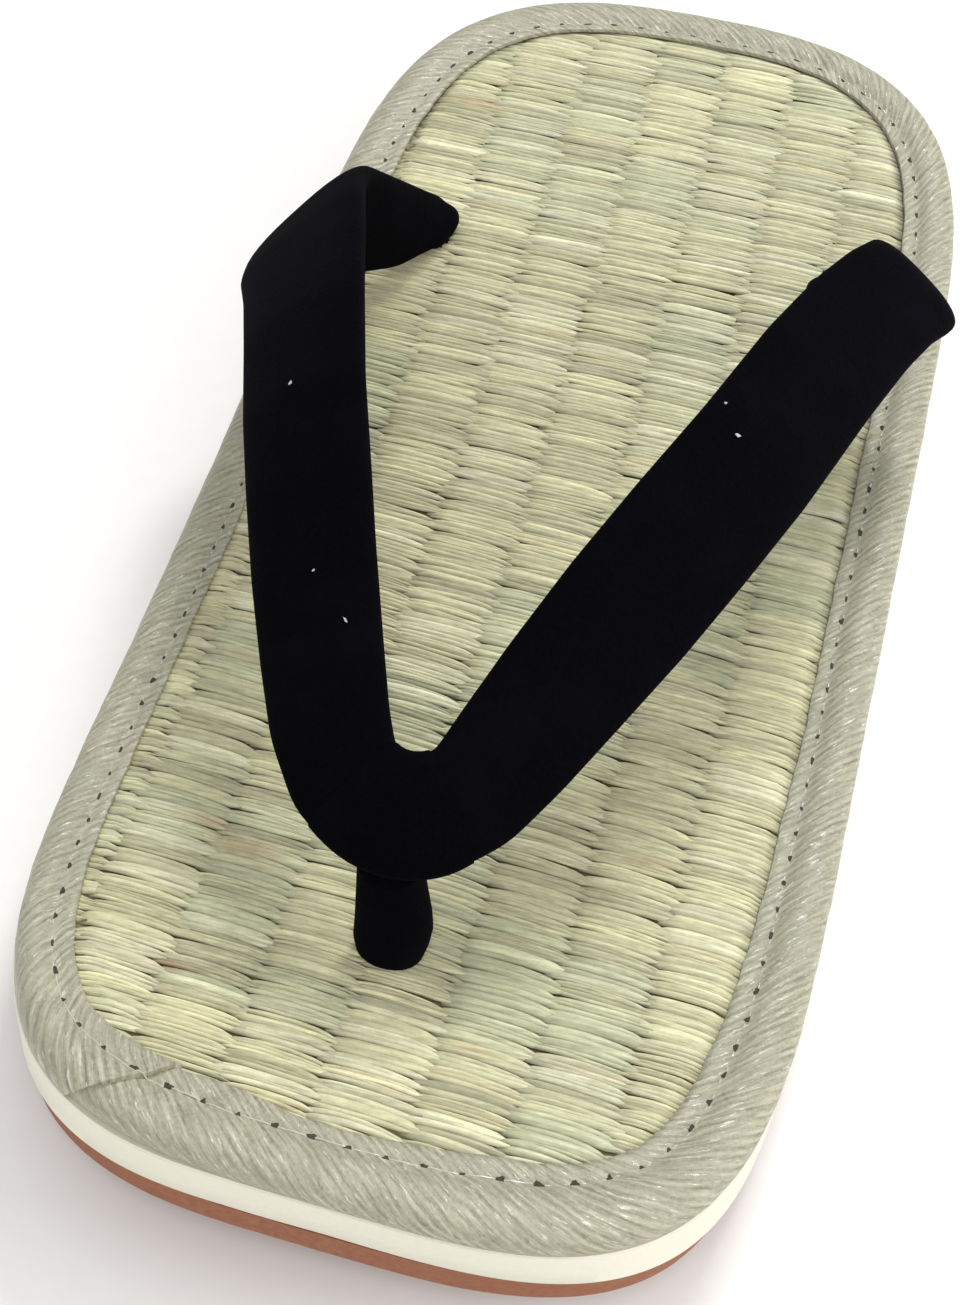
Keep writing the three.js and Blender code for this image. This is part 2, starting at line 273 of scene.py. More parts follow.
# %% Cut foam, and the midsole
foam, tree = new_finish("eva_foam_cut_face")
place = add(tree, "TexCoord").outputs["Object"]
cells = add(tree, "TexNoise", {"Vector": place, "Scale": 1 / (0.8 * MM), "Detail": 2})
cloud = add(tree, "TexNoise", {"Vector": place, "Scale": 1 / (30 * MM), "Detail": 2})
tone = add(
    tree, "Mix", {"Factor": cells.outputs["Fac"], "A": linear("#dbd8c5"), "B": linear("#ece9da")},
    data_type="RGBA",
)
tone2 = add(
    tree, "Mix", {"Factor": cloud.outputs["Fac"], "A": tone.outputs["Result"], "B": linear("#e4e1ce")},
    data_type="RGBA",
)
bump = add(tree, "Bump", {"Height": cells.outputs["Fac"], "Strength": 0.25, "Distance": 0.15 * MM})
shader = add(
    tree, "BsdfPrincipled",
    {"Base Color": tone2.outputs["Result"], "Roughness": 0.6, "IOR": 1.48, "Normal": bump.outputs[0]},
)
add(tree, "OutputMaterial", {"Surface": shader.outputs[0]})

OUTSOLE_THICK = 4.8
RIM_DEPTH = 5.0
MIDSOLE_STRAY = (  # turn and how far it stands out, as for the outsole
    (0, 0.0), (22, 0.1), (45, 0.3), (70, 0.1), (100, 0.0), (270, 0.0), (292, 0.5), (304, 1.1),
    (318, 1.2), (332, 0.8), (345, 0.2), (360, 0.0),
)
midsole = layer(
    "midsole_foam",
    [
        (1.25, lambda y: underside(y) + OUTSOLE_THICK),
        (1.0, lambda y: underside(y) + OUTSOLE_THICK + 0.25),
        (0.85, lambda y: 0.5 * (underside(y) + OUTSOLE_THICK + deck(y) - RIM_DEPTH)),
        (0.7, lambda y: deck(y) - RIM_DEPTH - 0.3),
        (0.9, lambda y: deck(y) - RIM_DEPTH),
    ],
    foam,
    MIDSOLE_STRAY,
)
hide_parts("midsole")

# %% [markdown]
# The mat is rush: dried stalks, laid two or three together in strands and woven over and under a few hidden
# warp cords. Dried rush is waxy and pale, from straw to grey-green, with fine streaks along the stalk. Each
# stalk carries its own colour, with painted highlight and painted shade added to it, in an attribute, and a
# UV map in millimetres, so that noise stretched along U runs with the stalk. Streaks are under 0.1 mm on a
# real stalk and are drawn at about 0.4 mm.

# %% Dried rush
rush, tree = new_finish("rush_stalks_dried_and_woven")
flat = add(tree, "UVMap", uv_map="stalk").outputs[0]
stretch = add(tree, "Mapping", {"Vector": flat, "Scale": (0.06, 1, 1)})
streak = add(tree, "TexNoise", {"Vector": stretch.outputs[0], "Scale": 1.7, "Detail": 4, "Roughness": 0.7})
squeeze = add(tree, "Mapping", {"Vector": flat, "Scale": (0.4, 1, 1)})
speck = add(tree, "TexNoise", {"Vector": squeeze.outputs[0], "Scale": 1.3, "Detail": 3, "Roughness": 0.7})
# The vertex colour is each stalk's own colour multiplied by its painted highlight and painted shade.
own = add(tree, "VertexColor", layer_name="stalk_colour_with_painted_light")
spread = add(
    tree, "MapRange",
    {"Value": streak.outputs["Fac"], "From Min": 0.3, "From Max": 0.7, "To Min": 0.67, "To Max": 1.22},
)
blotch = add(
    tree, "MapRange",
    {"Value": speck.outputs["Fac"], "From Min": 0.3, "From Max": 0.7, "To Min": 0.86, "To Max": 1.12},
)
both = add(tree, "Math", {0: spread.outputs[0], 1: blotch.outputs[0]}, operation="MULTIPLY")
tone = add(
    tree, "Mix", {"Factor": 1.0, "A": own.outputs["Color"], "B": both.outputs[0]},
    data_type="RGBA", blend_type="MULTIPLY",
)
bump = add(tree, "Bump", {"Height": streak.outputs["Fac"], "Strength": 0.4, "Distance": 0.2 * MM})
shader = add(
    tree, "BsdfPrincipled",
    {"Base Color": tone.outputs["Result"], "Roughness": 0.36, "IOR": 1.46, "Normal": bump.outputs[0]},
)
add(tree, "OutputMaterial", {"Surface": shader.outputs[0]})

# Painted shade: the body of the mat is coloured dark olive for the shadow in the gaps between strands.
gap_shade_rush, tree = new_finish("rush_ends_in_shadow")
place = add(tree, "TexCoord").outputs["Object"]
fibre = add(tree, "TexNoise", {"Vector": place, "Scale": 1 / (1.2 * MM), "Detail": 3})
tone = add(
    tree, "Mix", {"Factor": fibre.outputs["Fac"], "A": linear("#6f6746"), "B": linear("#9a926c")},
    data_type="RGBA",
)
shader = add(tree, "BsdfPrincipled", {"Base Color": tone.outputs["Result"], "Roughness": 0.85})
add(tree, "OutputMaterial", {"Surface": shader.outputs[0]})
print("finishes:", rush.name, gap_shade_rush.name)

# %% [markdown]
# Straps and post come next on paper, because the mat is slit where they pass through. The straps
# are a table of sections: the two edges of the band with heights over the deck, and a thickness.
# The rows run from the left slit over the joint between the toes to the right slit.

# %% The table of strap sections
STRAP_ROWS = (  # inner edge x, y, up; outer edge x, y, up; thick
    (-31.4, 61.6, -3.6, -33.0, 54.2, -3.6, 4.2),
    (-31.4, 61.6, 0.4, -33.0, 54.2, 0.4, 4.2),
    (-32.2, 58.8, 5.8, -36.0, 44.2, 2.2, 4.6),
    (-35.6, 47.6, 17, -44.2, 30.6, 9.6, 4.8),
    (-38.6, 38.0, 26.5, -51.9, 23.4, 15.2, 5.4),
    (-38.6, 33.4, 29, -52.4, 18.6, 17.2, 5.6),
    (-36.4, 25.0, 32.8, -51.4, 12.6, 20.2, 5.0),
    (-33.4, 13.9, 36.1, -48.6, 4.8, 23.5, 4.8),
    (-29.3, -1.9, 39.1, -44.5, -8.7, 27.7, 4.8),
    (-24.0, -21.2, 40.4, -39.4, -26.1, 30, 4.8),
    (-19.2, -35.9, 38.3, -34.9, -39.8, 29.2, 4.8),
    (-14.9, -49.1, 35.2, -30.1, -53.5, 27.1, 4.8),
    (-10.7, -61.2, 31.6, -25.5, -65.3, 24.9, 4.8),
    (-7.4, -70.6, 28.8, -21.2, -75.4, 22.4, 4.8),
    (-5.4, -75.2, 27.2, -15.6, -83.9, 19.4, 4.8),
    (-4.2, -76.2, 27, -8.4, -88.7, 18, 4.8),
    (-2.8, -76.4, 27, -2.0, -90.0, 17.6, 4.8),
    (-1.5, -76.1, 27, 4.4, -88.1, 18, 4.8),
    (-0.2, -74.8, 27.2, 11.0, -81.8, 19.8, 4.8),
    (1.6, -69.0, 29, 15.8, -73.6, 22.7, 4.8),
    (5.2, -58.6, 32.5, 20.4, -64.0, 25.3, 4.8),
    (10.1, -45.0, 36.1, 26.4, -50.2, 27.6, 4.8),
    (15.7, -30.8, 39.2, 31.9, -35.9, 29.5, 4.8),
    (21.6, -14.4, 40.4, 37.3, -19.6, 29.9, 4.8),
    (27.2, 6.7, 38.4, 43.1, 1.8, 28.9, 4.8),
    (31.9, 23.1, 35, 47.0, 16.7, 26.2, 4.8),
    (35.4, 33.0, 32.2, 50.0, 26.6, 23.6, 5.0),
    (37.6, 38.6, 29.8, 52.5, 32.6, 21.4, 5.6),
    (37.8, 42.2, 27, 52.4, 36.2, 18.8, 5.4),
    (35.2, 49.0, 17, 45.2, 39.0, 12.6, 4.8),
    (32.2, 58.8, 5.8, 36.2, 46.2, 2.6, 4.6),
    (31.4, 61.6, 0.4, 33.0, 54.2, 0.4, 4.2),
    (31.4, 61.6, -3.6, 33.0, 54.2, -3.6, 4.2),
)
POST_X, POST_Y = -1.9, -87.0
SLITS = (  # centre x, y; half length x, y; half thickness
    (-32.2, 57.9, -0.8, -3.7, 2.1),
    (32.2, 57.9, 0.8, -3.7, 2.1),
    (POST_X, POST_Y, 3.0, 0.0, 2.0),
)
SLIT_POWER = 2.2


def in_slit(x, y, grow):
    """True where a plan point falls in one of the three openings, grown all round."""
    inside = np.zeros(np.shape(x), bool)
    for cx, cy, hx, hy, thick in SLITS:
        half = math.hypot(hx, hy)
        u = ((x - cx) * hx + (y - cy) * hy) / half / (half + grow)
        v = ((y - cy) * hx - (x - cx) * hy) / half / (thick + grow)
        inside |= np.abs(u) ** SLIT_POWER + np.abs(v) ** SLIT_POWER < 1
    return inside


print(len(STRAP_ROWS), "strap sections and", len(SLITS), "slits")

# %% [markdown]
# Under the strands lies the body of the mat: more rush, seen only between strands, and painted dark there
# as the shade that fills the gaps. It is a layer like the soles, with a thinner rim for the tape to fold
# round, and the slits are cut out of it with a Boolean modifier whose result is kept as the mesh.

# %% The body of the mat
MAT_ROWS = ((7.1, -3.8), (7.1, -2.7), (2.9, -2.7), (2.2, -2.4), (2.0, -1.8), (2.3, -1.0), (3.0, -0.7))
CUT_LEVELS = (5.0, 35.0)
mat_body = layer(
    "mat_body", [(inset, lambda y, up=up: mat_top(y) + up) for inset, up in MAT_ROWS], gap_shade_rush
)


def slit_cutter(cx, cy, hx, hy, thick, sides=24, grow=0.3):
    """An upright block with the plan of one slit."""
    turn = np.arange(sides) * 2 * math.pi / sides
    half = math.hypot(hx, hy)
    c, s = [np.sign(f) * np.abs(f) ** (2 / SLIT_POWER) for f in (np.cos(turn), np.sin(turn))]
    x = cx + c * hx * (half + grow) / half - s * hy / half * (thick + grow)
    y = cy + c * hy * (half + grow) / half + s * hx / half * (thick + grow)
    ends = [np.stack([x, y, np.full(sides, level)], 1) for level in CUT_LEVELS]
    faces = grid(2, sides, round_columns=True)
    faces += [list(range(sides))[::-1], list(range(sides, 2 * sides))]
    return build("slit_cutter", np.concatenate(ends), faces, gap_shade_rush)


for slit in SLITS:
    cutter = slit_cutter(*slit)
    cut = mat_body.modifiers.new("slit", "BOOLEAN")
    cut.operation, cut.solver, cut.object = "DIFFERENCE", "EXACT", cutter
    bpy.context.view_layer.update()
    seen = mat_body.evaluated_get(bpy.context.evaluated_depsgraph_get())
    cut_mesh = bpy.data.meshes.new_from_object(seen)
    mat_body.modifiers.clear()
    mat_body.data = cut_mesh
    bpy.data.objects.remove(cutter)
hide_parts("rush_mat")
print("mat body cut:", len(mat_body.data.polygons), "faces")

# %% [markdown]
# The weave could be a texture, but the strands are what the eye sees first, so each stalk is a
# small closed mesh. A strand comes up from under its left neighbour, crosses one column of the
# weave and ends in a leaf-shaped tip that bends toward the toe. Columns are about 12 mm wide and
# strands 2.4 mm, and next-door columns are half a strand out of step, as in any plain weave. A
# stalk stops short of the slits and just under the tape.

# %% Positions and colours of the strands
COLUMN_WIDE, COLUMN_FROM = 12.11, -4.4
TOE_SKEW, HEEL_SKEW = 0.006, -0.018
TOE_FALL, HEEL_FALL = 1.3, 0.45
STRAND_PITCH = 2.4
ROWS_FROM_Y, ROWS_LONG, ROW_JITTER = -128, 256, 0.08
PATCH_ROWS = 9
STRAW, GREEN, PALE, WARM, DULL = [
    np.array(linear(c)[:3]) for c in ("#d2cea6", "#c0c5a2", "#e7e3c4", "#cdc19a", "#b0ac8a")
]
STAINS = (  # x, y, colour, how far along and across it spreads
    (-28.0, -97.6, "#a68463", 2.6, 0.9),
    (-24.5, -75.2, "#b9a37d", 5.0, 1.3),
    (-31.0, -72.0, "#bfa981", 3.5, 1.0),
    (-33.0, 92.0, "#cbb88c", 5.0, 1.2),
    (-8.0, 40.0, "#c4b388", 4.0, 1.0),
    (27.0, -62.0, "#bfad88", 4.5, 1.0),
    (12.0, -100.0, "#c4b38a", 4.0, 1.0),
)
INNER_EDGE = (  # turn round the plan in degrees from the toe, by the right side; inset
    (0, 9.0), (12, 9.8), (22, 10.9), (34, 10.3), (50, 9.8), (60, 8.9), (73, 8.3), (120, 8.6), (160, 8.0),
    (180, 7.8), (200, 8.0), (240, 8.6), (262, 8.1), (278, 7.4), (310, 7.3), (318, 7.9), (326, 8.9),
    (338, 10.4), (346, 9.8), (352, 9.0), (360, 9.0),
)
TAPE_EDGE = round_plan(ARC[:-1], INNER_EDGE)
nearest = KDTree(len(RING) - 1)
for i, (x, y) in enumerate(RING[:-1]):
    nearest.insert((x, y, 0), i)
nearest.balance()


def inside_tape(x, y):
    """How far plan points lie inside the inner edge of the tape."""
    found = []
    for px, py in zip(x, y + slant(x, y)):
        _, i, _ = nearest.find((px, py, 0))
        out = (px - RING[i, 0]) * OUTWARD[i, 0] + (py - RING[i, 1]) * OUTWARD[i, 1]
        found.append(STITCH_TO_EDGE - out - TAPE_EDGE[i])
    return np.array(found)


rows_wanted = int(ROWS_LONG / (STRAND_PITCH / 2))
columns_wanted = range(-4, 5)
row_jitter = rng.normal(0, ROW_JITTER, rows_wanted)
patch = rng.uniform(0, 1, (rows_wanted // PATCH_ROWS + 2, len(columns_wanted)))
print(rows_wanted, "half rows,", len(columns_wanted), "columns")

# %% [markdown]
# A strand is two, three or four stalks side by side. Each stalk follows its own slightly bent line,
# slims toward both ends, is arched across, and dips where it comes up from under its neighbour.
# Its colour is drawn strand by strand and darkened at the ends, painted shade where the weave lies in
# shadow. A painted highlight runs along its heel side, painted shade along the crease on its toe side, and
# painted shadow falls on it where it runs under the tape at the heel.
# Hair curves would not give the flat leaf shape of the tips.

# %% Weave the strands
SAMPLES, ACROSS = 40, 6
STALK_STEP, SHORTEST = 1.4, 0.8
UNDER_TAPE, SLIT_GAP, EDGE_DROP = 1.7, 0.15, 0.75
ROOT_SLIM, TIP_SLIM = 0.55, 0.28
t = np.linspace(0, 1, SAMPLES)
u = np.linspace(-1, 1, ACROSS)
arch = -0.66 * np.abs(u) ** 2.4
weave = [{"points": [], "faces": [], "colours": [], "grain": [], "count": 0} for side in range(2)]


def strand_tone(row, c, draw):
    """The colour of one strand: straw to green in slow patches, with some pale, warm or dull."""
    slow = np.interp(row / PATCH_ROWS, np.arange(len(patch)), patch[:, c])
    green = 0.65 * ease(0.4, 0.8, slow + 0.15 * draw[0])
    tone = STRAW * (1 - green) + GREEN * green
    odd = ((draw[1] > 0.6, PALE, 0.4), (draw[2] > 0.8, WARM, 0.35), (draw[3] > 0.75, DULL, 0.5))
    for chance, other, much in odd:
        tone = tone * (1 - much * chance) + other * much * chance
    return tone * (0.965 + 0.04 * draw[4])


def lay_stalk(bundle, x, y, up, half, tone, own, crease_shade):
    """One closed stalk with a leaf tip, in as many lengths as the slits and the tape leave."""
    edge = inside_tape(x, y)
    clear = (edge > -UNDER_TAPE) & ~in_slit(x, y - half, SLIT_GAP) & ~in_slit(x, y + half, SLIT_GAP)
    turns = np.flatnonzero(np.diff(np.concatenate([[0], clear.astype(int), [0]])))
    for start, stop in turns.reshape(-1, 2):
        if x[stop - 1] - x[start] < SHORTEST:
            continue
        n = max(3, int((x[stop - 1] - x[start]) / STALK_STEP) + 1)
        pick = np.linspace(start, stop - 1, n)
        ti, xi, yi, zi, ei = [np.interp(pick, np.arange(SAMPLES), f) for f in (t, x, y, up, edge)]
        s = np.abs(2 * ti - 1)
        root, tip = np.maximum(ROOT_SLIM, 1 - s**12), np.maximum(TIP_SLIM, 1 - s**9)
        slim = np.where(ti < 0.5, root, tip) ** 0.8
        zi = zi - EDGE_DROP * (1 - ease(-0.5, 2.2, ei))
        body = np.empty((n, ACROSS, 3))
        body[..., 0] = xi[:, None]
        body[..., 1] = yi[:, None] + half * slim[:, None] * u
        body[..., 2] = (mat_top(yi) + zi)[:, None] + (0.3 + 0.55 * half) * slim[:, None] * arch
        first = bundle["count"]
        bundle["faces"] += grid(n, ACROSS, round_columns=True, first=first)
        bundle["faces"].append(list(range(first, first + ACROSS)))
        bundle["faces"].append(list(range(first + (n - 1) * ACROSS, first + n * ACROSS))[::-1])
        bundle["points"].append(body.reshape(-1, 3))
        bundle["count"] += n * ACROSS
        tint = np.broadcast_to(tone, body.shape).copy()
        for sx, sy, code, wide, tall in STAINS:
            near = 0.8 * np.exp(-(((xi - sx) / wide) ** 2) - ((yi - sy) / tall) ** 2)[:, None, None]
            tint = tint * (1 - near) + np.array(linear(code)[:3]) * near
        # Painted shade: darker toward both ends, where the weave is in shadow, and painted shadow where the
        # stalk runs under the inner edge of the tape at the heel.
        shade = 1 - 0.35 * (1 - ti) ** 8 - 0.1 * ti**8
        shade = shade - 0.7 * (1 - ease(0, 1.3, ei)) * ease(60, 95, yi)
        # Painted highlight along the heel side of the stalk, painted shade in the crease along its toe
        # side.
        lit = 1 + 0.08 * u + 0.17 * np.exp(-(((u - 0.55) / 0.3) ** 2)) - crease_shade * ease(0.5, 1, -u)
        tint *= lit[None, :, None] * shade[:, None, None]
        bundle["colours"].append(tint.reshape(-1, 3))
        grain = np.stack([np.broadcast_to(xi[:, None], (n, ACROSS)), yi[:, None] + half * u], -1)
        bundle["grain"].append(grain.reshape(-1, 2) + 60 * own[:2])


for c, column in enumerate(columns_wanted):
    for row in range(rows_wanted):
        if (row + column) % 2:
            continue
        draw = rng.uniform(-1, 1, 7)
        row_y = ROWS_FROM_Y + row * STRAND_PITCH / 2 + row_jitter[row]
        skew = (TOE_SKEW if row_y < SPLIT_Y else HEEL_SKEW) * (row_y - SPLIT_Y)
        left = COLUMN_FROM + COLUMN_WIDE * column + skew
        fall = TOE_FALL + (HEEL_FALL - TOE_FALL) * float(ease(-50, 50, row_y))
        tone = strand_tone(row, c, draw)
        stalks = 2 + int(draw[5] > -0.3) + int(draw[5] > 0.6)
        share = rng.uniform(0.5, 1.5, stalks)
        share /= share.sum()
        middle = 2 * (np.cumsum(share) - share / 2) - 1
        for v, part in zip(middle, share):
            own = rng.uniform(-1, 1, 8)
            x = left - 1.3 + 0.4 * own[2] + (COLUMN_WIDE + 2.2 + 0.7 * own[3]) * t
            y = row_y + 0.55 - (fall + 0.2 * draw[6]) * t**2 - 0.12 * (1 - t) ** 4
            gather = 1 - 0.38 * t**8 - 0.4 * (1 - t) ** 6
            y = y + v * STRAND_PITCH / 2 * gather + 0.18 * own[4] * (2 * t - 1)
            y = y + 0.07 * np.sin(7 * (t + own[0]))
            up = 0.26 + 0.12 * (1 - v**2) + 0.12 * own[5] - 0.6 * (1 - t) ** 11 - 0.2 * t**10
            glow = 1 + 0.1 * own[6] + 0.2 * (own[7] > 0.72) - 0.16 * (own[7] < -0.76)
            # Painted shade along the crease on the toe side of each stalk, deepest under the lowest stalk
            # of the strand.
            crease_shade = 0.38 if v == middle[0] else 0.2
            lay_stalk(weave[c % 2], x, y, up, 0.6 * part * STRAND_PITCH, tone * glow, own, crease_shade)

for name, bundle in zip(("rush_columns_odd", "rush_columns_even"), weave):
    strands = build(name, np.concatenate(bundle["points"]), bundle["faces"], rush, sharp=75)
    paint = strands.data.color_attributes.new("stalk_colour_with_painted_light", "FLOAT_COLOR", "POINT")
    rgba = np.concatenate([np.concatenate(bundle["colours"]), np.ones((bundle["count"], 1))], 1)
    paint.data.foreach_set("color", rgba.ravel())
    corners = np.empty(len(strands.data.loops), int)
    strands.data.loops.foreach_get("vertex_index", corners)
    grain_map = strands.data.uv_layers.new(name="stalk")
    grain_map.data.foreach_set("uv", np.concatenate(bundle["grain"])[corners].ravel())
    print(len(bundle["points"]), "stalks in", name)

# %% [markdown]
# The edge is bound with a woven tape of fine slanted ribs, like cloth cut on the bias, grey-green and
# slightly lacquered, so that ribs glint where the edge turns over; the brightest glints are also painted
# into the colour as pale dashes. The mesh carries a UV map in millimetres along and across the ribs, which
# lets plain noise stretched along one axis draw them: ribs about 1.1 mm apart, each of finer cords, with
# the grain of the yarn over both, and painted shade darkening the grooves.

# %% Ribbed binding cloth
RIB_PITCH, RIB_FINE = 1.1, 0.5
cloth, tree = new_finish("ribbed_cloth_tape_lacquered")
ribs = add(tree, "UVMap", uv_map="ribs").outputs[0]
along_rib = add(tree, "Mapping", {"Vector": ribs, "Scale": (0.09, 1, 1)})
dashes = add(tree, "Mapping", {"Vector": ribs, "Scale": (0.16, 1, 1)})
wave = add(
    tree, "TexWave",
    {
        "Vector": ribs, "Scale": math.pi / 10 / RIB_PITCH, "Distortion": 6.0,
        "Detail": 3, "Detail Scale": 0.5,
    },
    wave_type="BANDS", bands_direction="Y",
)
fine = add(
    tree, "TexNoise",
    {"Vector": along_rib.outputs[0], "Scale": 1 / RIB_FINE, "Detail": 3, "Roughness": 0.7},
)
glint = add(tree, "TexNoise", {"Vector": dashes.outputs[0], "Scale": 2.6, "Detail": 2})
yarn = add(tree, "TexNoise", {"Vector": ribs, "Scale": 1.8, "Detail": 3, "Roughness": 0.7})
slow = add(tree, "TexNoise", {"Vector": ribs, "Scale": 1 / 9, "Detail": 3})
ribbed = add(tree, "Mix", {"Factor": 0.13, "A": fine.outputs["Fac"], "B": wave.outputs["Fac"]})
height = add(tree, "Mix", {"Factor": 0.3, "A": ribbed.outputs["Result"], "B": yarn.outputs["Fac"]})
# Partly painted shade: grooves between the ribs darker and ridges paler, besides the tone of the yarn.
light = add(
    tree, "MapRange",
    {"Value": height.outputs["Result"], "From Min": 0.36, "From Max": 0.64, "To Min": 0.0, "To Max": 1.0},
)
tone = add(
    tree, "Mix", {"Factor": light.outputs[0], "A": linear("#7b7962"), "B": linear("#c0bca4")},
    data_type="RGBA",
)
cast = add(
    tree, "MapRange",
    {"Value": slow.outputs["Fac"], "From Min": 0.35, "From Max": 0.7, "To Min": 0.0, "To Max": 0.45},
)
tone2 = add(
    tree, "Mix", {"Factor": cast.outputs[0], "A": tone.outputs["Result"], "B": linear("#9b9c88")},
    data_type="RGBA",
)
gloss = add(
    tree, "MapRange",
    {"Value": glint.outputs["Fac"], "From Min": 0.52, "From Max": 0.66, "To Min": 0.5, "To Max": 0.14},
)
# Painted highlight: pale dashes where the glint noise peaks, besides the real gloss of the lower roughness.
painted_glint = add(
    tree, "MapRange",
    {"Value": glint.outputs["Fac"], "From Min": 0.62, "From Max": 0.7, "To Min": 0.0, "To Max": 0.7},
)
tone3 = add(
    tree, "Mix", {"Factor": painted_glint.outputs[0], "A": tone2.outputs["Result"], "B": linear("#d9d7c9")},
    data_type="RGBA",
)
bump = add(tree, "Bump", {"Height": height.outputs["Result"], "Strength": 0.8, "Distance": 0.3 * MM})
shader = add(
    tree, "BsdfPrincipled",
    {
        "Base Color": tone3.outputs["Result"], "Roughness": gloss.outputs[0], "IOR": 1.5,
        "Normal": bump.outputs[0],
    },
)
add(tree, "OutputMaterial", {"Surface": shader.outputs[0]})
print("finish:", cloth.name)

# %% [markdown]
# The tape is one strip, folded over the edge of the mat and under it, so its section is a C. It
# starts and ends at the left of the toe, where one end lies slantwise over the other and leaves a
# step. Between stitches it puffs up a little, and it gathers into small puckers at the corners of
# the toe. Its inner edge is not an even distance from the stitches, which a small table follows.

# %% The binding tape
STITCH_LONG = 4.7
STITCHES = round(ROUND / STITCH_LONG)
STITCH_STEP = ROUND / STITCHES
FOLD_AT = float(ARC[np.argmin(np.hypot(RING[:, 0] + 26.5, RING[:, 1] + 117.2))])
FOLD_SLANT, FOLD_LIFT, FOLD_LAP = 0.7, 0.75, 1.6
STITCH_ASIDE = (  # turn round the plan, as for the inner edge; shift of the stitches outward
    (0, 0.0), (12, -0.4), (22, -1.0), (36, -1.0), (50, -0.6), (66, 0.0), (250, 0.0), (278, 0.6), (290, 0.6),
    (302, 1.0), (312, 1.7), (320, 1.4), (329, 0.6), (338, 0.0), (360, 0.0),
)
TAPE_TOP = (  # share of the way from the stitches to the inner edge, or inset; up from the mat
    (1.0, -0.25), (1.02, 0.1), (0.97, 0.42), (0.75, 0.55), (0.4, 0.6), (0.0, 0.5),
)
TAPE_OUT = (
    (5.7, 0.78), (4.7, 1.08), (3.5, 1.2), (2.4, 1.13), (1.5, 0.92), (0.8, 0.55), (0.32, 0.0), (0.08, -0.7),
    (0.0, -1.4), (0.08, -2.1), (0.35, -2.8), (0.9, -3.4), (1.7, -3.74), (2.6, -3.8), (6.8, -3.8),
)
TAPE_BACK = (
    (6.8, -2.95), (2.7, -2.95), (1.5, -2.6), (0.95, -1.9), (0.9, -1.0), (1.2, -0.2), (2.4, 0.25),
    (5.4, 0.2),
)
RIB_ANGLE = math.radians(40)
STRIP_STEP, HEM_LONG = 1.05, 45


def corner(along):
    """1 at the corners of the toe, where the tape is gathered, 0 elsewhere."""
    x, y = on_plan(along, STITCH_TO_EDGE)
    return np.exp(-(((np.abs(x) - 36) / 9) ** 2)) * ease(-85, -105, y)


def stitch_pull(along):
    """How far the thread pulls the tape down, deepest at the needle holes."""
    return 0.12 + 0.14 * (0.5 + 0.5 * np.cos(2 * math.pi * along / STITCH_STEP))


ripple_waves = rng.uniform(0, 2 * math.pi, (3, 6))


def ripple(along, kind):
    """Slow unevenness along the tape, a sum of waves, about 1 high."""
    lengths = np.array([3.6, 5.3, 8.1, 13.0, 23.0, 41.0])
    swings = np.array([0.5, 0.8, 1, 1, 1, 1])
    phase = 2 * math.pi * np.asarray(along)[..., None] / lengths + ripple_waves[kind]
    return (np.sin(phase) * swings).sum(-1) / 3


strip = np.concatenate([np.arange(0, ROUND + FOLD_LAP, STRIP_STEP), [ROUND + FOLD_LAP] * 2])
sections, rib_map = [], []
for k, s in enumerate(strip):
    hem = 1 - ease(0, HEM_LONG, min(s, ROUND + FOLD_LAP - s))
    lift = FOLD_LIFT * float(ease(ROUND - 16, ROUND - 3, s)) * (k < len(strip) - 1)
    edge = float(round_plan(FOLD_AT + s, INNER_EDGE)) + 0.12 * float(ripple(s, 1))
    sewn = STITCH_TO_EDGE - float(round_plan(FOLD_AT + s, STITCH_ASIDE))
    top = [(sewn + (edge - sewn) * share, up) for share, up in TAPE_TOP]
    out = [(inset * (sewn / STITCH_TO_EDGE if up > 0 else 1), up) for inset, up in TAPE_OUT]
    profile = np.array(top + out + list(TAPE_BACK))
    outer = len(top) + len(TAPE_OUT)
    step = np.concatenate([[0], np.cumsum(np.hypot(*np.diff(profile, axis=0).T))])
    q = step - step[len(top) - 1]
    along = FOLD_AT + s - FOLD_SLANT * np.clip(q, -5, 10) * hem
    on_top = np.zeros(len(profile))
    on_top[1 : len(top) + 5] = 1
    up = profile[:, 1] - on_top * stitch_pull(s) * np.exp(-((q / 1.0) ** 2))
    puckers = 0.3 * corner(along) * ripple(s, 1) * np.exp(-(((q - 2.5) / 3) ** 2))
    up = up + on_top * (0.1 * ripple(s, 0) + puckers)
    slope = np.gradient(profile, axis=0)
    slope /= np.linalg.norm(slope, axis=1)[:, None]
    rise = np.where(np.arange(len(profile)) < outer - 2, lift, 0.0)
    inset = profile[:, 0] + rise * slope[:, 1] + 0.06 * ripple(s, 2) * (q > 4) * (q < 12)
    up = up - rise * slope[:, 0]
    x, y = on_plan(along, inset)
    sections.append(np.stack([x, y, mat_top(y) + up], 1))
    run = s - FOLD_SLANT * np.clip(q, -5, 10) * hem
    ribs_along = run * math.cos(RIB_ANGLE) + q * math.sin(RIB_ANGLE)
    ribs_across = run * math.sin(RIB_ANGLE) - q * math.cos(RIB_ANGLE)
    rib_map.append(np.stack([ribs_along, ribs_across], 1))

n, k = len(sections), len(sections[0])
quads = [q[::-1] for q in grid(n, k, round_columns=True)]
ends = [list(range(k)), list(range((n - 1) * k, n * k))[::-1]]
tape = build("binding_tape", np.concatenate(sections), quads + ends, cloth, sharp=55)
rib_layer = tape.data.uv_layers.new(name="ribs")
corners = np.empty(len(tape.data.loops), int)
tape.data.loops.foreach_get("vertex_index", corners)
rib_layer.data.foreach_set("uv", np.concatenate(rib_map)[corners].ravel())
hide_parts("edge_binding")

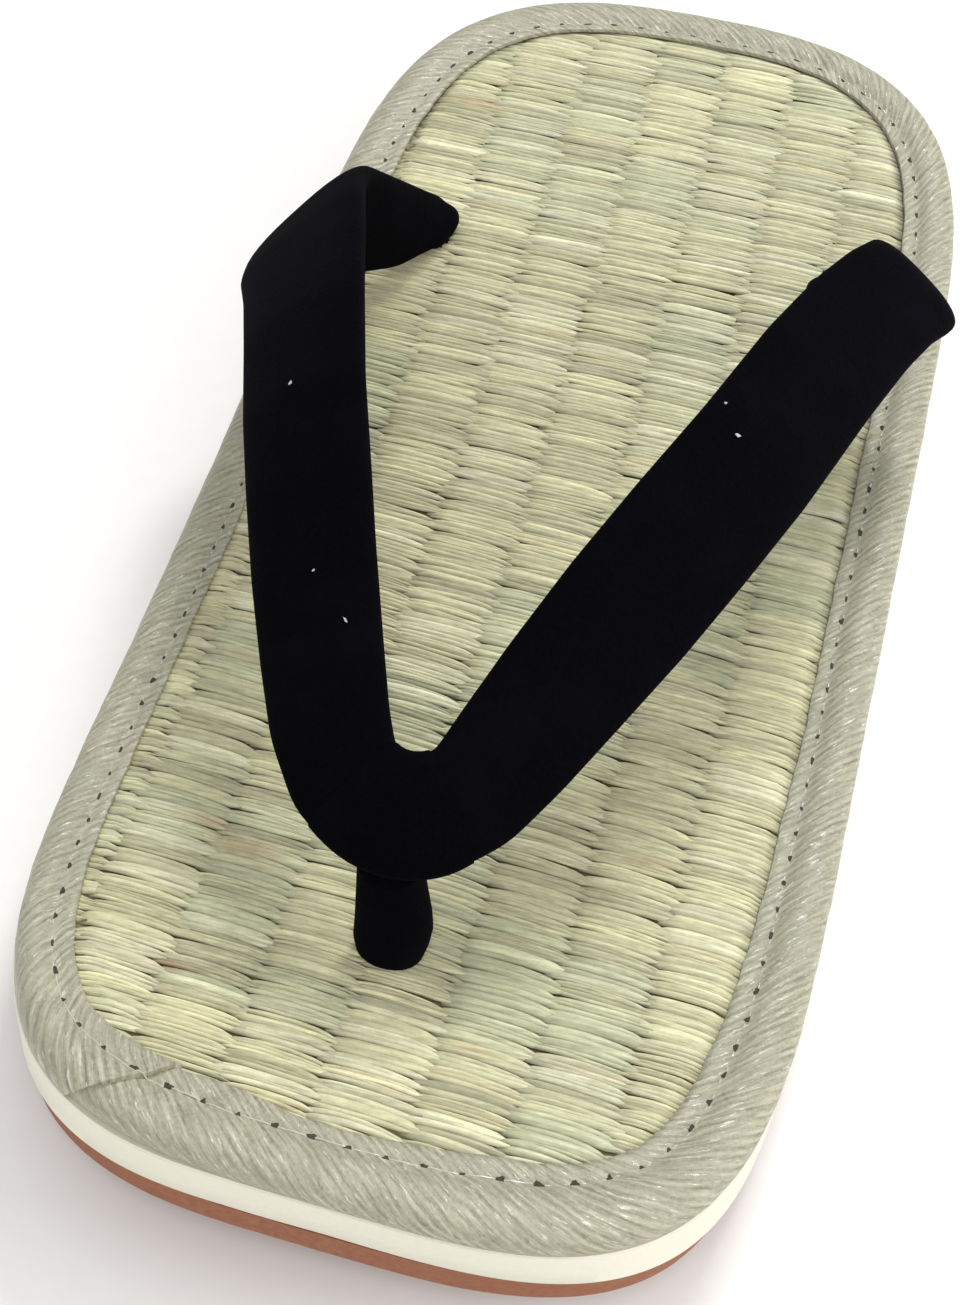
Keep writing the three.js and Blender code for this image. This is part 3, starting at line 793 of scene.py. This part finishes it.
# %% [markdown]
# The tape is sewn through the mat with clear nylon thread, in stitches about 4.7 mm long. Clear thread
# takes the colour of what is under it and only shows as a glint, so it is a smooth pale plastic. Along the
# sides it has sunk into the tape, and at the toe it stands clear. Each needle hole is a dark pucker, a
# small disc painted dark as the shade inside the hole. Both are dropped on to the face of the tape by a ray
# from above, and all the threads are one mesh and all the holes another, because there are over a hundred
# of each.

# %% Stitches and needle holes
nylon, tree = new_finish("nylon_thread_drawn_clear")
place = add(tree, "TexCoord").outputs["Object"]
twist = add(tree, "TexNoise", {"Vector": place, "Scale": 1 / (1.1 * MM), "Detail": 2})
tone = add(
    tree, "Mix", {"Factor": twist.outputs["Fac"], "A": linear("#b0ae9c"), "B": linear("#d2d0c4")},
    data_type="RGBA",
)
shader = add(
    tree, "BsdfPrincipled", {"Base Color": tone.outputs["Result"], "Roughness": 0.16, "IOR": 1.53}
)
add(tree, "OutputMaterial", {"Surface": shader.outputs[0]})

# Painted shade: each hole is a dark disc standing for the shadow inside the pucker.
hole_dark, tree = new_finish("needle_hole_shadow")
place = add(tree, "TexCoord").outputs["Object"]
fluff = add(tree, "TexNoise", {"Vector": place, "Scale": 1 / (0.5 * MM), "Detail": 2})
tone = add(
    tree, "Mix", {"Factor": fluff.outputs["Fac"], "A": linear("#1d1b14"), "B": linear("#514d3d")},
    data_type="RGBA",
)
shader = add(tree, "BsdfPrincipled", {"Base Color": tone.outputs["Result"], "Roughness": 0.9})
add(tree, "OutputMaterial", {"Surface": shader.outputs[0]})

THREAD_THICK, THREAD_STEPS, THREAD_SIDES = 0.27, 9, 6
HOLE_LONG, HOLE_WIDE, HOLE_SIDES = 0.55, 0.52, 10
HOLE_DEEP, HOLE_PROUD = 0.25, 0.06


def on_tape(along, aside=0.0):
    """Points on the face of the tape, beside the line of stitches."""
    x, y = on_plan(along, STITCH_TO_EDGE - round_plan(along, STITCH_ASIDE) - aside)
    above = [Vector((px * MM, py * MM, 0.1)) for px, py in zip(np.ravel(x), np.ravel(y))]
    z = [tape_face.ray_cast(spot, Vector((0, 0, -1)))[0].z / MM for spot in above]
    return np.stack([x, y, np.reshape(z, np.shape(x))], -1)


tape_face = BVHTree.FromObject(tape, bpy.context.evaluated_depsgraph_get())
thread_points, thread_faces, hole_points, hole_faces = [], [], [], []
around = np.arange(THREAD_SIDES) * 2 * math.pi / THREAD_SIDES
for i in range(STITCHES):
    start = FOLD_AT + i * STITCH_STEP
    aside = rng.normal(0, 0.12, 2)
    t = np.linspace(0.1, 0.9, THREAD_STEPS)
    line = on_tape(start + t * STITCH_STEP, aside[0] + (aside[1] - aside[0]) * t)
    out = np.abs(2 * t - 1)
    at_toe = ease(95, 114, -line[:, 1]) * (1 - ease(18, 27, line[:, 0]))
    broken = 0.72 + 0.25 * np.sin(9 * t + 2.4 * i)
    at_holes = np.exp(-(((out - 0.6) / 0.15) ** 2))
    stand = np.maximum(broken * at_toe, at_holes) - 0.6
    line[:, 2] += THREAD_THICK * (stand - 1.2 * out**6)
    run = np.gradient(line, axis=0)
    run /= np.linalg.norm(run, axis=1)[:, None]
    side = np.cross(run, [0, 0, 1.0])
    lid = np.cross(side, run)
    tube = line[:, None] + THREAD_THICK / 2 * (
        np.cos(around)[None, :, None] * side[:, None] + np.sin(around)[None, :, None] * lid[:, None]
    )
    first = i * THREAD_STEPS * THREAD_SIDES
    last = first + (THREAD_STEPS - 1) * THREAD_SIDES
    thread_faces += [q[::-1] for q in grid(THREAD_STEPS, THREAD_SIDES, round_columns=True, first=first)]
    thread_faces.append(list(range(first, first + THREAD_SIDES)))
    thread_faces.append(list(range(last, last + THREAD_SIDES))[::-1])
    thread_points.append(tube.reshape(-1, 3))
    middle = on_tape(start, aside[0])
    ahead = on_tape(start + 0.5, aside[0]) - middle
    ahead /= np.linalg.norm(ahead)
    beside = np.cross([0, 0, 1.0], ahead)
    size = rng.uniform(0.6, 1.25, 2) * [HOLE_LONG, HOLE_WIDE]
    turn = np.arange(HOLE_SIDES) * 2 * math.pi / HOLE_SIDES
    wobble = 1 + 0.3 * np.sin(3 * turn + rng.uniform(0, 6)) + 0.15 * np.sin(5 * turn)
    rim = size[0] * np.cos(turn)[:, None] * ahead + size[1] * np.sin(turn)[:, None] * beside
    flat = middle + rim * wobble[:, None]
    hole_points.append(np.concatenate([flat - [0, 0, HOLE_DEEP], flat + [0, 0, HOLE_PROUD]]))
    first = 2 * HOLE_SIDES * i
    last = first + HOLE_SIDES
    hole_faces += grid(2, HOLE_SIDES, round_columns=True, first=first)
    hole_faces += [list(range(first, last))[::-1], list(range(last, last + HOLE_SIDES))]

threads = build("stitch_threads", np.concatenate(thread_points), thread_faces, nylon)
holes = build("needle_holes", np.concatenate(hole_points), hole_faces, hole_dark)
print(STITCHES, "stitches of", round(STITCH_STEP, 2), "mm")

# %% [markdown]
# The straps are cotton velvet sewn round a soft core. Velvet is nearly black here: its standing
# pile swallows light, and only at grazing angles does a little blue-grey come back, which the
# shader's sheen gives. A slow noise stands for brushed patches in the pile, and a fine one, drawn
# coarser than the real pile of 0.2 mm, for the pile itself.

# %% Cotton velvet
velvet, tree = new_finish("cotton_velvet_woven_pile")
place = add(tree, "TexCoord").outputs["Object"]
pile = add(tree, "TexNoise", {"Vector": place, "Scale": 1 / (0.7 * MM), "Detail": 3, "Roughness": 0.7})
brushed = add(tree, "TexNoise", {"Vector": place, "Scale": 1 / (14 * MM), "Detail": 3})
tone = add(
    tree, "Mix", {"Factor": pile.outputs["Fac"], "A": linear("#020203"), "B": linear("#08070c")},
    data_type="RGBA",
)
patchy = add(
    tree, "MapRange",
    {"Value": brushed.outputs["Fac"], "From Min": 0.5, "From Max": 0.75, "To Min": 0.0, "To Max": 0.5},
)
tone2 = add(
    tree, "Mix", {"Factor": patchy.outputs[0], "A": tone.outputs["Result"], "B": linear("#0c0a11")},
    data_type="RGBA",
)
bump = add(tree, "Bump", {"Height": pile.outputs["Fac"], "Strength": 0.7, "Distance": 0.35 * MM})
shader = add(
    tree, "BsdfPrincipled",
    {
        "Base Color": tone2.outputs["Result"], "Roughness": 0.95, "IOR": 1.45, "Specular IOR Level": 0.03,
        "Sheen Weight": 0.014, "Sheen Roughness": 0.4, "Sheen Tint": linear("#8f8aa8"),
        "Normal": bump.outputs[0],
    },
)
add(tree, "OutputMaterial", {"Surface": shader.outputs[0]})
print("finish:", velvet.name)

# %% [markdown]
# The two straps are one padded band from slit to slit, lofted through the table of sections. The
# table is read closely, then smoothed over a millimetre or so, so that the folds where the band
# turns down to the slits stay crisp but not knife sharp. Each section is a rounded pad square to
# the run of the band, and swells a little where it is pushed down on the mat. Cloth simulation
# would lose the folds, so the shape is given directly.

# %% The straps
STRAP_STEP, STRAP_SOFT, STRAP_SIDES = 1.0, 1.3, 36
SWELL, SWELL_AT, SWELL_OVER = 1.2, 1.9, 1.8


def along_rows(spacing, soft):
    """The strap table read at even steps, smoothed over a length."""
    table = np.array(STRAP_ROWS, float)
    table[:, 2] += deck(table[:, 1])
    table[:, 5] += deck(table[:, 4])
    middle = (table[:, :3] + table[:, 3:6]) / 2
    path = np.concatenate([[0], np.cumsum(np.linalg.norm(np.diff(middle, axis=0), axis=1))])
    want = np.linspace(0, path[-1], int(path[-1] / spacing) + 1)
    read = np.stack([np.interp(want, path, table[:, i]) for i in range(7)], 1)
    reach = int(3 * soft / spacing)
    weight = np.exp(-0.5 * (np.arange(-reach, reach + 1) * spacing / soft) ** 2)
    before, after = 2 * read[0] - read[reach:0:-1], 2 * read[-1] - read[-2 : -reach - 2 : -1]
    padded = np.concatenate([before, read, after])
    smooth = [np.convolve(padded[:, i], weight / weight.sum(), "valid") for i in range(7)]
    return np.stack(smooth, 1)


def pad_sections(rows, power=2.6, grow=0.0):
    """Rounded sections through the two edges of the band, grown all round."""
    inner, outer, thick = rows[:, :3], rows[:, 3:6], rows[:, 6]
    middle = (inner + outer) / 2
    run = np.gradient(middle, axis=0)
    wide = (outer - inner) / 2
    half = np.linalg.norm(wide, axis=1)[:, None]
    thin = np.cross(run, wide)
    thin /= np.linalg.norm(thin, axis=1)[:, None]
    turn = (np.arange(STRAP_SIDES) + 0.5) * 2 * math.pi / STRAP_SIDES
    c, s = [np.sign(f) * np.abs(f) ** (2 / power) for f in (np.cos(turn), np.sin(turn))]
    grow = np.broadcast_to(grow, thick.shape)[:, None]
    wide = wide * (half + grow) / half
    thin = thin * (thick[:, None] / 2 + grow)
    return middle[:, None] + c[None, :, None] * wide[:, None] + s[None, :, None] * thin[:, None]


band = along_rows(STRAP_STEP, STRAP_SOFT)
over_mat = (band[:, 2] + band[:, 5]) / 2 - mat_top((band[:, 1] + band[:, 4]) / 2)
pad = pad_sections(band, grow=SWELL * np.exp(-(((over_mat - SWELL_AT) / SWELL_OVER) ** 2)))
n, k = pad.shape[:2]
quads = grid(n, k, round_columns=True)
ends = [list(range(k))[::-1], list(range((n - 1) * k, n * k))]
straps = build("velvet_straps", pad.reshape(-1, 3), quads + ends, velvet, sharp=70)
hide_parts("straps")

# %% [markdown]
# The post between the toes is the same velvet: a stuffed roll that comes up through its own slit
# and carries the joint of the straps. It is lofted from oval sections, fullest on the right just
# above the mat. A loop of velvet, part of the post, lies over the joint.

# %% The post and its loop
POST_ROWS = (  # up from the deck, shift right, width, depth
    (-3.6, 0.0, 5.8, 3.8), (-1.3, 0.0, 5.8, 3.8), (-0.8, -0.1, 8.1, 6.5), (-0.2, -0.2, 8.9, 7.2),
    (0.8, -0.2, 9.3, 7.5), (2.4, -0.1, 9.9, 7.9), (5.0, 0.1, 10.1, 8.0), (8.0, 0.0, 9.8, 7.9),
    (13.0, -0.4, 8.9, 7.5), (16.0, -0.6, 8.5, 7.0), (18.2, -0.7, 8.3, 6.6),
)
POST_SIDES, POST_STEPS, POST_POWER = 32, 44, 2.15
JOINT_SLOPE = 0.62
rows = np.array(POST_ROWS)
levels = np.linspace(rows[0, 0], rows[-1, 0], POST_STEPS)
post_table = np.stack([np.interp(levels, rows[:, 0], rows[:, i]) for i in range(4)], 1)
turn = (np.arange(POST_SIDES) + 0.5) * 2 * math.pi / POST_SIDES
c, s = [np.sign(f) * np.abs(f) ** (2 / POST_POWER) for f in (np.cos(turn), np.sin(turn))]
post = np.empty((POST_STEPS, POST_SIDES, 3))
post[..., 0] = POST_X + post_table[:, 1:2] + c * post_table[:, 2:3] / 2
post[..., 1] = POST_Y + s * post_table[:, 3:4] / 2
post[..., 2] = deck(POST_Y) + post_table[:, 0:1]
post[..., 2] += JOINT_SLOPE * (post[..., 1] - POST_Y) * ease(9, 18, post_table[:, 0:1])
quads = grid(POST_STEPS, POST_SIDES, round_columns=True)
last = (POST_STEPS - 1) * POST_SIDES
ends = [list(range(POST_SIDES))[::-1], list(range(last, last + POST_SIDES))]

LOOP_HALF, LOOP_THICK, LOOP_HEM, LOOP_GAP = 7.4, 0.3, 0.08, 0.05
centre = (band[:, :3] + band[:, 3:6]) / 2
walked = np.concatenate([[0], np.cumsum(np.linalg.norm(np.diff(centre, axis=0), axis=1))])
joint = walked[np.argmin(band[:, 4])]
near = np.flatnonzero(np.abs(walked - joint) <= LOOP_HALF)
hem = 1 - (np.abs(walked[near] - joint) / LOOP_HALF) ** 6
cover = pad_sections(band, grow=LOOP_GAP)[near]
lift = np.zeros(len(band))
lift[near] = LOOP_GAP + LOOP_HEM + (LOOP_THICK - LOOP_HEM) * np.maximum(0, hem)
loop = np.concatenate([cover, pad_sections(band, grow=lift)[near][::-1]])
first = POST_STEPS * POST_SIDES
loop_quads = grid(len(loop), STRAP_SIDES, round_rows=True, round_columns=True, first=first)
points = np.concatenate([post.reshape(-1, 3), loop.reshape(-1, 3)])
front_post = build("velvet_post", points, quads + ends + [q[::-1] for q in loop_quads], velvet, sharp=70)
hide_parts("front_post")

# %% [markdown]
# White flecks of lint cling to the velvet. Each is a tiny bent flake, and it is set down where a
# line of sight through its place in the picture meets the strap, so it lies on the pile.

# %% The camera, then the lint
EYE = Vector((44.645, -296.584, 319.578)) * MM
RIGHT = Vector((0.97114306, 0.23316572, 0.05014873))
DOWN = Vector((0.2067817, -0.71840156, -0.66418411))
AHEAD = Vector((-0.11883804, 0.65538763, -0.74588509))
FRAME_WIDE, FRAME_HIGH, FOCAL = 960, 1305, 2853.06
SENSOR = 36.0

lens = bpy.data.cameras.new("camera")
lens.sensor_width, lens.lens = SENSOR, FOCAL / FRAME_HIGH * SENSOR
lens.clip_start, lens.clip_end = 0.01, 50
camera = bpy.data.objects.new("camera", lens)
camera.matrix_world = Matrix.Translation(EYE) @ Matrix((RIGHT, -DOWN, -AHEAD)).transposed().to_4x4()
bpy.context.scene.collection.objects.link(camera)
bpy.context.scene.camera = camera
print(f"camera {EYE.length * 1000:.0f} mm from the middle of the sole, lens {lens.lens:.1f} mm")

LINT = (  # picture x, y; length, width in mm; turn in degrees
    (291, 384, 0.75, 0.35, 20), (346, 621, 1.0, 0.3, 100), (737, 436, 0.9, 0.45, 20),
    (725, 404, 0.45, 0.3, 10), (314, 571, 0.45, 0.2, 0),
)
FLAKE = ((-1, -0.4), (0.2, -1), (1, 0.3), (-0.3, 1))
FLAKE_LOW, FLAKE_HIGH, FLAKE_CURL = 0.05, 0.25, 0.12
lint, tree = new_finish("cotton_lint_matted")
place = add(tree, "TexCoord").outputs["Object"]
wisps = add(tree, "TexNoise", {"Vector": place, "Scale": 1 / (0.4 * MM), "Detail": 2})
tone = add(
    tree, "Mix", {"Factor": wisps.outputs["Fac"], "A": linear("#8f949c"), "B": linear("#e3e8ee")},
    data_type="RGBA",
)
shader = add(tree, "BsdfPrincipled", {"Base Color": tone.outputs["Result"], "Roughness": 0.9})
add(tree, "OutputMaterial", {"Surface": shader.outputs[0]})

pile_tree = BVHTree.FromObject(straps, bpy.context.evaluated_depsgraph_get())
flecks, fleck_faces = [], []
for px, py, long, wide, degrees in LINT:
    sight = RIGHT * (px - FRAME_WIDE / 2) + DOWN * (py - FRAME_HIGH / 2) + AHEAD * FOCAL
    spot, normal, _, _ = pile_tree.ray_cast(EYE, sight.normalized())
    if spot is None:
        continue
    across = normal.cross(AHEAD).normalized()
    level = normal.cross(across)
    a = math.radians(degrees)
    way = across * math.cos(a) + level * math.sin(a)
    side = normal.cross(way)
    first = 8 * len(flecks)
    flake = []
    for lid in (FLAKE_LOW, FLAKE_HIGH):
        for u, v in FLAKE:
            at = spot / MM + way * u * long / 2 + side * v * wide / 2
            flake.append(tuple(at + normal * (lid + FLAKE_CURL * abs(u))))
    flecks.append(np.array(flake))
    fleck_faces += grid(2, 4, round_columns=True, first=first)
    fleck_faces += [[first + i for i in (3, 2, 1, 0)], [first + i for i in (4, 5, 6, 7)]]
specks = build("lint_flecks", np.concatenate(flecks), fleck_faces, lint, sharp=60)

# %% [markdown]
# The set is a pale card floor under soft light: a broad light high behind the heel, so that every strand of
# the mat is bright along its heel side on top of the highlight painted there, and weaker ones in front and
# at the right to open up the toe edge and the side. A small one over the toe draws the glints along the
# tape, beside the glints painted into its colour. A pale world fills the shadows.

# %% Floor, light and world
card, tree = new_finish("card_matt_white")
place = add(tree, "TexCoord").outputs["Object"]
tooth = add(tree, "TexNoise", {"Vector": place, "Scale": 1 / (4 * MM), "Detail": 2})
tone = add(
    tree, "Mix", {"Factor": tooth.outputs["Fac"], "A": linear("#f4f3f1"), "B": linear("#f8f7f5")},
    data_type="RGBA",
)
shader = add(tree, "BsdfPrincipled", {"Base Color": tone.outputs["Result"], "Roughness": 0.9})
add(tree, "OutputMaterial", {"Surface": shader.outputs[0]})
FLOOR_HALF = 4.0
WORLD_LIGHT = 0.68
floor_mesh = bpy.data.meshes.new("floor")
square = [(-1, -1, 0), (1, -1, 0), (1, 1, 0), (-1, 1, 0)]
floor_mesh.from_pydata([(x * FLOOR_HALF, y * FLOOR_HALF, z) for x, y, z in square], [], [(0, 1, 2, 3)])
floor_mesh.materials.append(card)
floor = bpy.data.objects.new("floor", floor_mesh)
bpy.context.scene.collection.objects.link(floor)

LIGHTS = (  # name, place in metres, size in metres, watts
    ("overhead", (0.3, 1.45, 1.9), 0.75, 25.5),
    ("front", (0.3, -1.05, 0.75), 0.8, 3.3),
    ("glint", (0.05, -0.6, 1.05), 0.3, 1.7),
    ("right", (1.2, 0.0, 0.5), 0.7, 6.0),
)
for name, spot, size, watts in LIGHTS:
    lamp = bpy.data.lights.new(name, "AREA")
    lamp.shape, lamp.size, lamp.energy = "DISK", size, watts
    light = bpy.data.objects.new(name, lamp)
    light.location = spot
    light.rotation_euler = (-Vector(spot)).to_track_quat("-Z", "Y").to_euler()
    bpy.context.scene.collection.objects.link(light)
world = bpy.data.worlds.new("studio")
world.use_nodes = True
world.node_tree.nodes["Background"].inputs["Color"].default_value = linear("#f5f6f8")
world.node_tree.nodes["Background"].inputs["Strength"].default_value = WORLD_LIGHT
bpy.context.scene.world = world
bpy.context.scene.view_settings.view_transform = "Standard"
print(len(LIGHTS), "lights")
